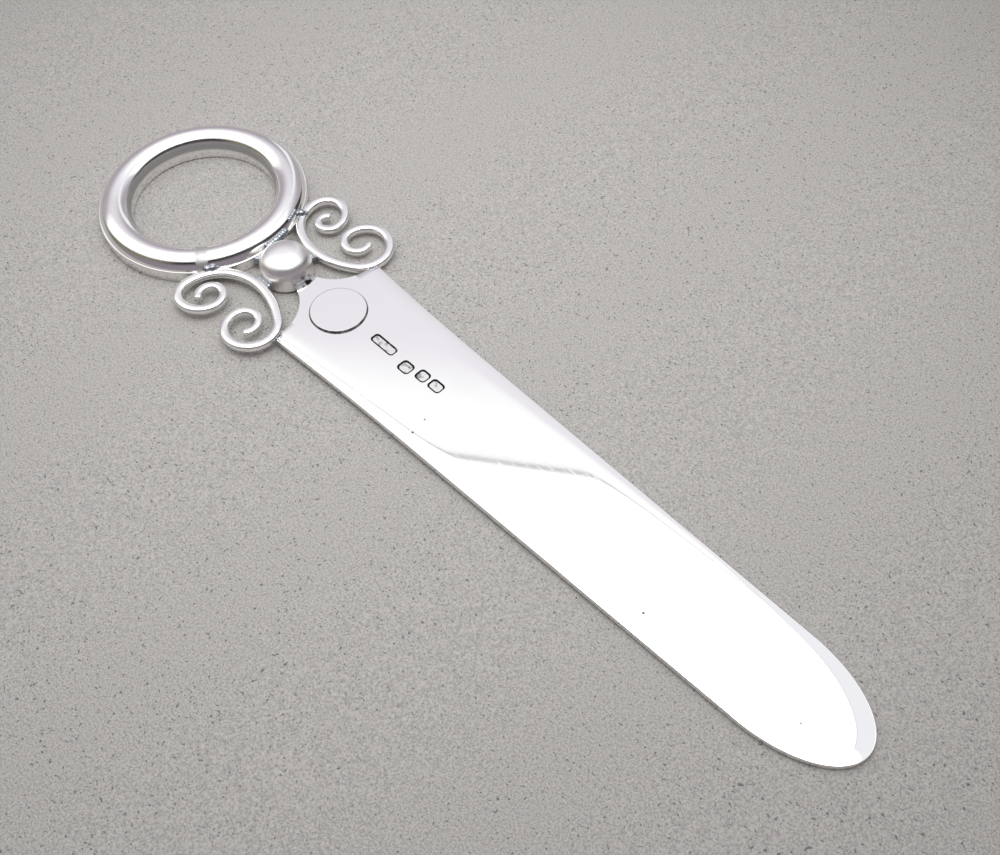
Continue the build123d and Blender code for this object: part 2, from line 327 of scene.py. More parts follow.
def scratches(graph, turn, scale):
    """Long thin streaks that run one way, 0 to 1."""
    place = graph.place(turn=(0, 0, radians(turn)), stretch=SCRATCH_STRETCH)
    return graph.noise(place, scale, 2.0, 0.6).ramp(0.62, 0.74)


def distance(east, north):
    """Distance from a place, from the sockets of its two parts."""
    return (east * east + north * north) ** 0.5


def blade_soot_and_shade(graph, place):
    """Soot in the marks on the upper face, and painted shade round the disc's foot and round the boss's seat
    at the neck's end, 0 to 1.
    """
    x, y, z = graph.axes(place)
    patchy = 0.5 + 0.9 * graph.noise(place, PATCH_SCALE, 3)
    blots = graph.noise(place, BLOT_SCALE, 2).ramp(0.5, 0.62)
    depth = BLADE_HIGH.z - z
    in_mark = depth.ramp(*MARK_TOPS) * (0.12 + 0.5 * blots + depth.ramp(*MARK_FEET))
    marked = abs(x - MARKS_CENTRE).ramp(*MARKS_REACH) * abs(y).ramp(*MARKS_HALF_WIDTH)
    past_disc = distance(x - DISC_CENTRE.x, y - DISC_CENTRE.y) - (DISC_HIGH.x - DISC_CENTRE.x)
    # Painted shade: a dark line in the corner round the disc's foot
    corner = 0.85 * abs(past_disc).ramp(*DISC_SHADE_REACH)
    # Painted shade: a dark band on the blade round the boss's seat
    past_seat = distance(x - BOSS_CENTRE.x, y) - SEAT_SHADE_RADIUS
    seat = past_seat.ramp(*SEAT_SHADE_REACH) * (0.6 + 0.5 * blots)
    return (in_mark * marked + corner + seat) * patchy * z.ramp(*SOOT_AND_SHADE_LEVELS)


def ring_joint_dullness_and_shade(graph, place):
    """The dull band of solder across the ring, where its ends meet, and its less polished inside, which is
    also painted darker as shade.
    """
    x, y, z = graph.axes(place)
    east = x - RING_CENTRE.x
    ahead = east * cos(JOINT_BEARING) + y * sin(JOINT_BEARING)
    aside = abs(y * cos(JOINT_BEARING) - east * sin(JOINT_BEARING))
    uneven = 0.18 + 0.32 * graph.noise(place, JOINT_SCALE, 2)
    joint = aside.ramp(*JOINT_HALF_WIDTH) * ahead.ramp(0, 1 * MM) * uneven
    # The inside is rougher, as less polished, and its colour is darkened as painted shade
    inside = z.ramp(*INSIDE_FOOT) * z.ramp(*INSIDE_TOP) * distance(east, y).ramp(*INSIDE_REACH)
    return joint + 0.5 * inside


def make_silver(name, finish, rough, stain, more_dirt_and_shade=None):
    """Hand-polished silver: a bright metal with a faint haze, fine scratches and a little tarnish."""
    material, graph = new_material(name)
    place = graph.place()
    haze = graph.noise(place, HAZE_SCALE, 4)
    grain = graph.noise(place, GRAIN_SCALE, 3)
    first, second, third = [scratches(graph, turn, scale) for turn, scale in SCRATCHES]
    lines = first + second + third
    specks = graph.cells(place, SPECK_SCALE).ramp(0.055, 0.03)
    chance = graph.noise(place, CHANCE_SCALE, 0).ramp(0.56, 0.58)
    dirt_and_shade = specks * chance * 0.8
    # A piece may add its own soot and painted shade
    if more_dirt_and_shade:
        dirt_and_shade = dirt_and_shade.math("MAXIMUM", dirt_and_shade, more_dirt_and_shade(graph, place))
    base = graph.mix(haze.ramp(0.5, 0.85) * stain, tuple(finish.silver), tuple(finish.tarnish))
    # Specks, soot and painted shade darken the colour towards soot
    base = graph.mix(dirt_and_shade, base, tuple(finish.soot))
    rough = getattr(finish, rough) + 0.2 * stain * haze + 0.05 * lines + 0.9 * dirt_and_shade
    height = grain * 0.5 - lines * 0.1 - dirt_and_shade
    normal = graph.bump(height, SILVER_BUMP, finish.wear)
    shader = graph.node("ShaderNodeBsdfPrincipled", {},
                        {"Base Color": base, "Metallic": 1.0, "Roughness": rough, "Normal": normal})
    graph.surface(shader)
    return material


def make_solder(name, finish):
    """Grey solder: duller than the silver, lumpy and pitted, with soot in the pits."""
    material, graph = new_material(name)
    place = graph.place()
    lumps = graph.noise(place, LUMP_SCALE, 4, 0.6)
    pits = graph.cells(place, PIT_SCALE).ramp(0.32, 0.1)
    soot = pits * lumps.ramp(0.4, 0.6) * 0.7
    base = graph.mix(lumps.ramp(0.5, 0.9), tuple(finish.solder), tuple(finish.silver))
    base = graph.mix(soot, base, tuple(finish.soot))
    rough = 0.18 + 0.2 * lumps + 0.2 * soot
    normal = graph.bump(lumps - soot, SOLDER_BUMP, SOLDER_BUMP_STRENGTH)
    shader = graph.node("ShaderNodeBsdfPrincipled", {},
                        {"Base Color": base, "Metallic": 1.0, "Roughness": rough, "Normal": normal})
    graph.surface(shader)
    return material


def finish_of(name, maker, *options):
    """A material by name, made at its first use."""
    known = bpy.data.materials.get(name)
    return known or maker(name, bpy.context.scene.opener_finish, *options)


def blade_silver():
    return finish_of("blade_silver", make_silver, "polish", BLADE_STAIN, blade_soot_and_shade)


def only(piece):
    """Selects one object alone and makes it the active one."""
    bpy.ops.object.select_all(action="DESELECT")
    piece.select_set(True)
    bpy.context.view_layer.objects.active = piece
    return piece


def edit(piece, kind="VERT"):
    only(piece)
    bpy.ops.object.mode_set(mode="EDIT")
    bpy.ops.mesh.select_mode(type=kind)


def leave():
    bpy.ops.object.mode_set(mode="OBJECT")


def pick(kind, test):
    """Selects what passes a test among the verts, edges or faces of the mesh in edit mode."""
    bpy.ops.mesh.select_all(action="DESELECT")
    data = bpy.context.edit_object.data
    mesh = bmesh.from_edit_mesh(data)
    for item in getattr(mesh, kind):
        if test(item):
            item.select_set(True)
    mesh.select_flush_mode()
    bmesh.update_edit_mesh(data)


def settle(piece, near=0.0001 * MM):
    """Closes the mesh's seams, merging points that are near each other, and turns its faces outwards."""
    edit(piece)
    bpy.ops.mesh.select_all(action="SELECT")
    bpy.ops.mesh.remove_doubles(threshold=near)
    bpy.ops.mesh.normals_make_consistent(inside=False)
    leave()


def change(piece, kind, **settings):
    """Adds a modifier, sets it and applies it."""
    only(piece)
    modifier = piece.modifiers.new(kind, kind)
    for name, value in settings.items():
        setattr(modifier, name, value)
    bpy.ops.object.modifier_apply(modifier=modifier.name)


def cut(piece, cutter):
    """Takes the cutter's shape out of the piece."""
    change(piece, "BOOLEAN", operation="DIFFERENCE", object=cutter, solver="EXACT")
    bpy.data.objects.remove(cutter)


def pillar(x, y, radius):
    """An upright round cutter through the blade."""
    bpy.ops.object.select_all(action="DESELECT")
    bpy.ops.mesh.primitive_cylinder_add(vertices=PILLAR_STEPS, radius=radius, depth=PILLAR_HEIGHT,
                                        location=(x, y, MIDDLE_LEVEL))
    return bpy.context.object


def hand_over(piece, name, material, node):
    """Sets a finished piece at the origin, names and paints it, and lets it stand for its solid."""
    only(piece)
    bpy.ops.object.transform_apply(location=True, rotation=True, scale=True)
    bpy.ops.object.shade_smooth_by_angle(angle=SMOOTH_ANGLE)
    piece.name = name
    piece.data.name = name
    piece.data.materials.clear()
    piece.data.materials.append(material)
    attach(piece, "root")
    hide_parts(node)


def arc(centre, radius, start, end, steps):
    """Points on a round arc, from one angle to another in degrees."""
    points = []
    for step in range(steps + 1):
        turn = radians(start + (end - start) * step / steps)
        points.append((centre[0] + radius * cos(turn), centre[1] + radius * sin(turn)))
    return points


def turned(profile, centre):
    """A round piece drawn up from its flat foot to a pole, along a profile of (radius, height)."""
    bpy.ops.object.select_all(action="DESELECT")
    radius, level = profile[0]
    bpy.ops.mesh.primitive_circle_add(vertices=TURN_STEPS, radius=radius, fill_type="TRIFAN",
                                      location=(centre.x, centre.y, level))
    piece = bpy.context.object
    edit(piece, "EDGE")
    pick("edges", lambda edge: edge.is_boundary)
    for next_radius, next_level in profile[1:]:
        bpy.ops.mesh.extrude_edges_move(TRANSFORM_OT_translate={"value": (0, 0, next_level - level)})
        if next_radius:
            scale = next_radius / radius
            bpy.ops.transform.resize(value=(scale, scale, 1),
                                     center_override=(centre.x, centre.y, next_level))
        else:
            bpy.ops.mesh.merge(type="CENTER")
        radius, level = next_radius, next_level
    leave()
    settle(piece)
    return piece


def drawn(points):
    """A line of vertices drawn point by point, left in edit mode with all of it selected."""
    bpy.ops.object.select_all(action="DESELECT")
    bpy.ops.mesh.primitive_plane_add(size=1 * MM, location=points[0])
    piece = bpy.context.object
    bpy.ops.object.transform_apply(location=True, rotation=True, scale=True)
    edit(piece)
    bpy.ops.mesh.merge(type="CENTER")
    for point, following in zip(points, points[1:]):
        step = [end - start for start, end in zip(point, following)]
        bpy.ops.mesh.extrude_vertices_move(TRANSFORM_OT_translate={"value": step})
    bpy.ops.mesh.select_all(action="SELECT")
    return piece


def ring_solid(sizes, extra=0.0):
    """The ring's section spun about its axis, grown by an extra where it is used to cut a seat."""
    outer = sizes.ring_diameter / 2 + extra
    inner = sizes.ring_diameter / 2 - sizes.ring_width - extra
    foot = RING_LOW.z - extra
    wall = RING_LOW.z + sizes.ring_wall + extra
    top_radius = sizes.ring_top + extra
    top_centre = (inner + top_radius, RING_HIGH.z - sizes.ring_top)
    ledge = degrees(asin((wall - top_centre[1]) / top_radius))
    edge = sizes.ring_edge
    section = ([(inner, foot)]
               + arc((outer - edge, foot + edge), edge, 270, 360, RING_FOOT_STEPS)
               + arc((outer - edge, wall - edge), edge, 0, 90, RING_EDGE_STEPS)
               + arc(top_centre, top_radius, ledge, 180, RING_TOP_STEPS))
    section.append(section[0])
    ring = drawn([(RING_CENTRE.x + radius, RING_CENTRE.y, level) for radius, level in section])
    bpy.ops.mesh.spin(steps=RING_STEPS, angle=2 * pi, center=RING_CENTRE, axis=(0, 0, 1))
    leave()
    settle(ring)
    return ring


class OPENER_OT_ring(bpy.types.Operator):
    """Spins the ring's section, with its upright walls, ledge and round top, about the ring's axis"""

    bl_idname = "opener.ring"
    bl_label = "Ring"

    def execute(self, context):
        ring = ring_solid(context.scene.opener_sizes)
        silver = finish_of("ring_silver", make_silver, "worn", WORN_STAIN, ring_joint_dullness_and_shade)
        hand_over(ring, "ring_tube", silver, "ring")
        return {"FINISHED"}


class OPENER_OT_boss(bpy.types.Operator):
    """Turns the domed boss from its profile"""

    bl_idname = "opener.boss"
    bl_label = "Boss"
    # Power of the dome's curve: 1 is an ellipse, less is fuller
    FULLNESS = 0.78
    ROUND_STEPS = 8
    DOME_STEPS = 40

    def execute(self, context):
        sizes = context.scene.opener_sizes
        radius = sizes.boss_diameter / 2
        foot = sizes.boss_foot
        profile = arc((radius - foot, BOSS_LOW.z + foot), foot, -90, 0, self.ROUND_STEPS)
        rim = BOSS_HIGH.z - sizes.boss_dome
        for step in range(self.DOME_STEPS):
            turn = pi / 2 * step / self.DOME_STEPS
            out = radius * cos(turn) ** self.FULLNESS
            profile.append((out, rim + sizes.boss_dome * sin(turn) ** self.FULLNESS))
        boss = turned(profile + [(0, BOSS_HIGH.z)], BOSS_CENTRE)
        silver = finish_of("boss_silver", make_silver, "dome", WORN_STAIN)
        hand_over(boss, "boss_dome", silver, "boss")
        return {"FINISHED"}


class OPENER_OT_disc(bpy.types.Operator):
    """Turns the plain disc with its worn edge"""

    bl_idname = "opener.disc"
    bl_label = "Disc"
    ROUND_STEPS = 6
    # Where the flat face has loops, as shares of its radius
    FACE_LOOPS = (0.97, 0.6, 0.2, 0)

    def execute(self, context):
        sizes = context.scene.opener_sizes
        radius = DISC_HIGH.x - DISC_CENTRE.x
        inner = radius - sizes.disc_edge
        profile = [(radius, DISC_LOW.z)]
        profile += arc((inner, DISC_HIGH.z - sizes.disc_edge), sizes.disc_edge, 0, 90, self.ROUND_STEPS)
        profile += [(inner * part, DISC_HIGH.z) for part in self.FACE_LOOPS]
        disc = turned(profile, DISC_CENTRE)
        hand_over(disc, "name_disc_plate", blade_silver(), "name_disc")
        return {"FINISHED"}


def scroll_base(sizes):
    """Distance of the scrolls' middle lines from the knife's axis, beside the boss."""
    return sizes.boss_diameter / 2 + sizes.scroll_gap + sizes.wire_diameter / 2


def arc_stations(arcs, along, base, step):
    """Points along one end of a scroll, from the boss to the curl's tip, as (x, y, turn so far)."""
    x, y, turn = BOSS_CENTRE.x, base, 0.0
    stations = [(x, y, turn)]
    for radius, sweep in arcs:
        count = round(sweep / step)
        for number in range(1, count + 1):
            start = radians(turn)
            end = radians(turn + sweep * number / count)
            stations.append((x + along * radius * MM * (sin(end) - sin(start)),
                             y + radius * MM * (cos(start) - cos(end)), turn + sweep * number / count))
        x, y, turn = stations[-1]
    return stations


class OPENER_OT_scrolls(bpy.types.Operator):
    """Draws the scrolls' wires along their arcs, thinning to rounded tips, and files them to the ring"""

    bl_idname = "opener.scrolls"
    bl_label = "Scrolls"
    # Degrees of turn: from station to station, up to the end of the full wire, and up to the curl's start
    STEP = 9
    FULL_TURN = 40
    CURL_TURN = 160
    # How the wire closes at its tip: how far past the last station, and the share of its width there
    TIP_ROUND = ((0.3, 0.95), (0.5, 0.7), (0.6, 0.1))
    # The wire's section: how far its height falls short of its width, and how square its corners are
    SECTION_HEIGHT = 0.85
    SECTION_CORNER = 1.3
    WIRE_ORDER = 4
    WIRE_RESOLUTION = 4

    def width(self, sizes, turn, last):
        if turn <= self.FULL_TURN:
            return sizes.wire_diameter
        if turn <= self.CURL_TURN:
            part = (turn - self.FULL_TURN) / (self.CURL_TURN - self.FULL_TURN)
            return sizes.wire_diameter + part * (sizes.curl_diameter - sizes.wire_diameter)
        part = (turn - self.CURL_TURN) / (last - self.CURL_TURN)
        return sizes.curl_diameter + part * (sizes.tip_diameter - sizes.curl_diameter)

    def one_end(self, sizes, arcs, along):
        """Points with widths along one end, closed by a rounded tip."""
        stations = arc_stations(arcs, along, scroll_base(sizes), self.STEP)
        last = stations[-1][2]
        points = [(x, y, self.width(sizes, turn, last)) for x, y, turn in stations]
        x, y, turn = stations[-1]
        heading = (along * cos(radians(turn)), sin(radians(turn)))
        for past, part in self.TIP_ROUND:
            reach = past * sizes.tip_diameter / 2
            points.append((x + reach * heading[0], y + reach * heading[1], part * sizes.tip_diameter))
        return points

    def section(self, sizes):
        """The wire's section, flattened above and below."""
        bpy.ops.object.select_all(action="DESELECT")
        bpy.ops.curve.primitive_nurbs_circle_add(radius=1)
        section = bpy.context.object
        half = sizes.wire_diameter / 2
        for point in section.data.splines[0].points:
            x, y = point.co[:2]
            corner = abs(x * y) > 0.5
            point.co = (x * half, y * half * self.SECTION_HEIGHT, 0, self.SECTION_CORNER if corner else 1)
        return section

    def make_wire(self, sizes, name, side, level, ring_end, blade_end):
        section = self.section(sizes)
        points = self.one_end(sizes, ring_end, -1)[:0:-1] + self.one_end(sizes, blade_end, 1)
        bpy.ops.object.select_all(action="DESELECT")
        bpy.ops.curve.primitive_nurbs_path_add()
        wire = bpy.context.object
        spline = wire.data.splines[0]
        spline.points.add(len(points) - len(spline.points))
        for point, (x, y, width) in zip(spline.points, points):
            point.co = (x, side * y, level, 1)
            point.radius = width / sizes.wire_diameter
        spline.order_u = self.WIRE_ORDER
        spline.use_endpoint_u = True
        spline.resolution_u = self.WIRE_RESOLUTION
        wire.data.bevel_mode = "OBJECT"
        wire.data.bevel_object = section
        wire.data.twist_mode = "Z_UP"
        wire.data.use_fill_caps = True
        bpy.ops.object.convert(target="MESH")
        wire = bpy.context.object
        bpy.data.objects.remove(section)
        settle(wire)
        cut(wire, ring_solid(sizes, sizes.solder_gap / 2))
        silver = finish_of("wire_silver", make_silver, "worn", WORN_STAIN)
        hand_over(wire, name + "_wire", silver, name)

    def execute(self, context):
        sizes = context.scene.opener_sizes
        self.make_wire(sizes, "scroll_left", -1, LEFT_LEVEL, LEFT_RING_END, LEFT_BLADE_END)
        self.make_wire(sizes, "scroll_right", 1, RIGHT_LEVEL, RIGHT_RING_END, RIGHT_BLADE_END)
        return {"FINISHED"}


class OPENER_OT_blade(bpy.types.Operator):
    """Draws the blade's outline, rolls its edges, and cuts its neck, seats and blank marks"""

    bl_idname = "opener.blade"
    bl_label = "Blade"
    FLARE_STEPS = 16
    TIP_STEPS = 40
    # How the faces fall away: power of the fall, loops across it, and how these crowd towards the edge
    ROLL_POWER = 4
    ROLL_STEPS = 24
    ROLL_CROWDING = 1.2
    EDGE_SEGMENTS = 4
    # Corners of the marks, as a share of their width
    MARK_CORNER = 0.3
    MARK_SEGMENTS = 6
    LEVEL_TOLERANCE = 0.01 * MM
    MERGE_REACH = 0.02 * MM
    # Wear of the edges that the cuts leave
    CUT_EDGE = 0.07 * MM
    CUT_EDGE_ANGLE = radians(50)

    def outline(self, sizes):
        """Half the outline from the root to the point, as (x, distance from the axis)."""
        half_shoulder = sizes.shoulder_width / 2
        half_flare = sizes.flare_width / 2
        half_tip = sizes.tip_width / 2
        neck_x = BOSS_CENTRE.x + sizes.boss_diameter / 2 + sizes.solder_gap
        flare_x = neck_x + sizes.shoulder_station + sizes.flare_length
        tip_x = BLADE_HIGH.x - sizes.tip_length
        taper = (half_flare - half_tip) / (tip_x - flare_x)
        spread = half_shoulder - half_flare - taper * sizes.flare_length
        points = [(BOSS_CENTRE.x, half_shoulder)]
        for step in range(self.FLARE_STEPS + 1):
            part = 1 - step / self.FLARE_STEPS
            back = sizes.flare_length * part
            points.append((flare_x - back, half_flare + taper * back + spread * part ** 2))
        for step in range(self.TIP_STEPS + 1):
            turn = pi / 2 * step / self.TIP_STEPS
            points.append((tip_x + sizes.tip_length * sin(turn), half_tip * cos(turn)))
        return points

    def sheet(self, sizes):
        half = self.outline(sizes)
        points = half + [(x, -y) for x, y in half[-2::-1]]
        low = BLADE_LOW.z + sizes.edge_roll
        high = BLADE_HIGH.z - sizes.edge_roll
        blade = drawn([(x, y, low) for x, y in points])
        bpy.ops.mesh.edge_face_add()
        bpy.ops.mesh.extrude_region_move(TRANSFORM_OT_translate={"value": (0, 0, high - low)})
        bpy.ops.mesh.select_all(action="SELECT")
        bpy.ops.mesh.normals_make_consistent(inside=False)
        bpy.ops.mesh.select_mode(type="EDGE")
        pick("edges", lambda edge: abs(edge.verts[0].co.z - edge.verts[1].co.z) < self.LEVEL_TOLERANCE)
        bpy.ops.mesh.bevel(offset=sizes.edge_round, segments=self.EDGE_SEGMENTS, affect="EDGES")
        self.roll(sizes)
        leave()
        return blade

    def roll(self, sizes):
        """Insets both faces, rising less and less, so that they fall away towards the edge."""
        bpy.ops.mesh.select_mode(type="FACE")
        loops = [(step / self.ROLL_STEPS) ** self.ROLL_CROWDING for step in range(self.ROLL_STEPS + 1)]
        falls = [sizes.edge_roll * (1 - loop) ** self.ROLL_POWER for loop in loops]
        for side in (1, -1):
            pick("faces", lambda face: face.normal.z * side > 0.999)
            for number in range(1, len(loops)):
                across = (loops[number] - loops[number - 1]) * sizes.roll_width
                bpy.ops.mesh.inset(thickness=across, depth=falls[number - 1] - falls[number],
                                   use_even_offset=True, use_boundary=True)

    def cut_neck(self, sizes, blade):
        """Cuts the seat for the boss, the two round cut-outs and the seats of the wires."""
        gap = sizes.solder_gap
        room = sizes.wire_diameter / 2 + gap
        cut(blade, pillar(BOSS_CENTRE.x, 0, sizes.boss_diameter / 2 + gap))
        for side, arcs in ((-1, LEFT_BLADE_END), (1, RIGHT_BLADE_END)):
            (bow, sweep), (bend, _) = [(radius * MM, turn) for radius, turn in arcs[:2]]
            bend_x = BOSS_CENTRE.x + (bow - bend) * sin(radians(sweep))
            bend_y = scroll_base(sizes) + bow - (bow - bend) * cos(radians(sweep))
            hole_x = bend_x + bend + room - gap - sizes.shoulder_lap - sizes.cutout_radius
            hole_y = sizes.neck_width / 2 + sizes.cutout_radius
            cut(blade, pillar(hole_x, side * hole_y, sizes.cutout_radius))
            cut(blade, pillar(bend_x, side * bend_y, bend + room))

    def strike(self, sizes, blade):
        """Sinks the blank marks into the upper face."""
        for x, y, long, wide in MARKS:
            bpy.ops.object.select_all(action="DESELECT")
            long, wide = long * MM + sizes.mark_slope, wide * MM + sizes.mark_slope
            bpy.ops.mesh.primitive_cube_add(size=1, location=(x * MM, y * MM, BLADE_HIGH.z),
                                            scale=(long, wide, 2 * sizes.mark_depth))
            punch = bpy.context.object
            bpy.ops.object.transform_apply(location=True, rotation=True, scale=True)
            edit(punch, "EDGE")
            pick("edges", lambda edge: abs(edge.verts[0].co.z - edge.verts[1].co.z) > sizes.mark_depth)
            bpy.ops.mesh.bevel(offset=self.MARK_CORNER * wide, segments=self.MARK_SEGMENTS, affect="EDGES")
            pick("verts", lambda vert: vert.co.z < BLADE_HIGH.z)
            narrow = [1 - 2 * sizes.mark_slope / size for size in (long, wide)]
            bpy.ops.transform.resize(value=(*narrow, 1), center_override=(x * MM, y * MM, BLADE_HIGH.z))
            leave()
            cut(blade, punch)

    def execute(self, context):
        sizes = context.scene.opener_sizes
        blade = self.sheet(sizes)
        self.cut_neck(sizes, blade)
        self.strike(sizes, blade)
        settle(blade, self.MERGE_REACH)
        change(blade, "BEVEL", width=self.CUT_EDGE, segments=2, limit_method="ANGLE",
               angle_limit=self.CUT_EDGE_ANGLE)
        hand_over(blade, "blade_sheet", blade_silver(), "blade")
        change(blade, "WEIGHTED_NORMAL", weight=100, thresh=0, keep_sharp=True)
        return {"FINISHED"}


def bead(name, balls, node):
    """A lump of solder run together from balls given as (x, y, z, radius), then pitted."""
    bpy.ops.object.select_all(action="DESELECT")
    parts = []
    for x, y, z, radius in balls:
        bpy.ops.mesh.primitive_ico_sphere_add(subdivisions=3, radius=radius, location=(x, y, z))
        parts.append(bpy.context.object)
    for part in parts:
        part.select_set(True)
    bpy.ops.object.join()
    lump = bpy.context.object
    bpy.ops.object.transform_apply(location=True, rotation=True, scale=True)
    change(lump, "REMESH", mode="VOXEL", voxel_size=BEAD_VOXEL)
    change(lump, "SMOOTH", **BEAD_SMOOTHING)
    texture = bpy.data.textures.new(name, "CLOUDS")
    texture.noise_scale = PIT_SIZE
    change(lump, "DISPLACE", texture=texture, strength=PIT_DEPTH, mid_level=0.5)
    settle(lump)
    hand_over(lump, name, finish_of("solder_grey", make_solder), node)


class OPENER_OT_solder(bpy.types.Operator):
    """Runs the lumps and beads of solder into the joints"""

    bl_idname = "opener.solder"
    bl_label = "Solder"
    # Arcs of balls: distance past the piece's edge, first and last bearing in degrees, count, level, radius
    WEB_FOOT = (0.25 * MM, -7, 9, 9, MIDDLE_LEVEL + 0.2 * MM, 0.62 * MM)
    WEB_TOP = (-0.2 * MM, 2, 15, 9, 2.05 * MM, 0.6 * MM)
    NECK = (0.06 * MM, -17, 17, 11, BLADE_HIGH.z - 0.04 * MM, 0.14 * MM)
    RIGHT_RUN = (-0.75 * MM, 23, 30, 5, 2.45 * MM, 0.42 * MM)
    # Balls of a lump, from the joint's middle, as (x, y, z, radius) in millimetres
    LUMP = ((-0.3, -0.4, 0.5, 0.6), (0.2, 0.3, 0.5, 0.65), (0.5, 0.8, 0.35, 0.45))
    # Balls of a bridge, along the boss, and of a fillet, from the joint's middle, in millimetres
    BRIDGE = (-1.0, -0.6, -0.2, 0.2, 0.6, 1.0)
    BRIDGE_PAST = 0.2 * MM
    BRIDGE_BALL = 0.42 * MM
    FILLET = ((-0.5, -0.5), (-0.3, -0.2), (-0.25, 0.1), (-0.3, 0.4))
    FILLET_SINK = 0.2 * MM
    FILLET_BALL = 0.26 * MM

    def around(self, centre, edge, past, start, end, count, level, size):
        """Balls along an arc about a centre."""
        radius = edge + past
        balls = []
        for number in range(count):
            turn = radians(start + (end - start) * number / (count - 1))
            balls.append((centre.x + radius * cos(turn), centre.y + radius * sin(turn), level, size))
        return balls

    def execute(self, context):
        sizes = context.scene.opener_sizes
        outer = sizes.ring_diameter / 2
        boss = sizes.boss_diameter / 2
        web = self.around(RING_CENTRE, outer, *self.WEB_FOOT)
        web += self.around(RING_CENTRE, outer, *self.WEB_TOP)
        bead("solder_ring_boss_web", web, "solder_ring_boss")
        neck = self.around(BOSS_CENTRE, boss, *self.NECK)
        bead("solder_boss_neck_bead", neck, "solder_boss_neck")
        for name, side, level in (("left", -1, LEFT_LEVEL), ("right", 1, RIGHT_LEVEL)):
            low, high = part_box("solder_ring_scroll_" + name)
            middle = (low + high) / 2
            lump = [(middle.x + dx * MM, middle.y + dy * MM, level + dz * MM, size * MM)
                    for dx, dy, dz, size in self.LUMP]
            if side > 0:
                lump += self.around(RING_CENTRE, outer, *self.RIGHT_RUN)
            bead("solder_ring_scroll_" + name + "_lump", lump, "solder_ring_scroll_" + name)
            bridge = [(BOSS_CENTRE.x + dx * MM, side * (boss + self.BRIDGE_PAST), level, self.BRIDGE_BALL)
                      for dx in self.BRIDGE]
            bead("solder_boss_scroll_" + name + "_bridge", bridge, "solder_boss_scroll_" + name)
            low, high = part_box("solder_shoulder_" + name)
            middle = (low + high) / 2
            sunk = BLADE_HIGH.z - self.FILLET_SINK
            fillet = [(middle.x + dx * MM, middle.y + side * dy * MM, sunk, self.FILLET_BALL)
                      for dx, dy in self.FILLET]
            bead("solder_shoulder_" + name + "_fillet", fillet, "solder_shoulder_" + name)
        return {"FINISHED"}


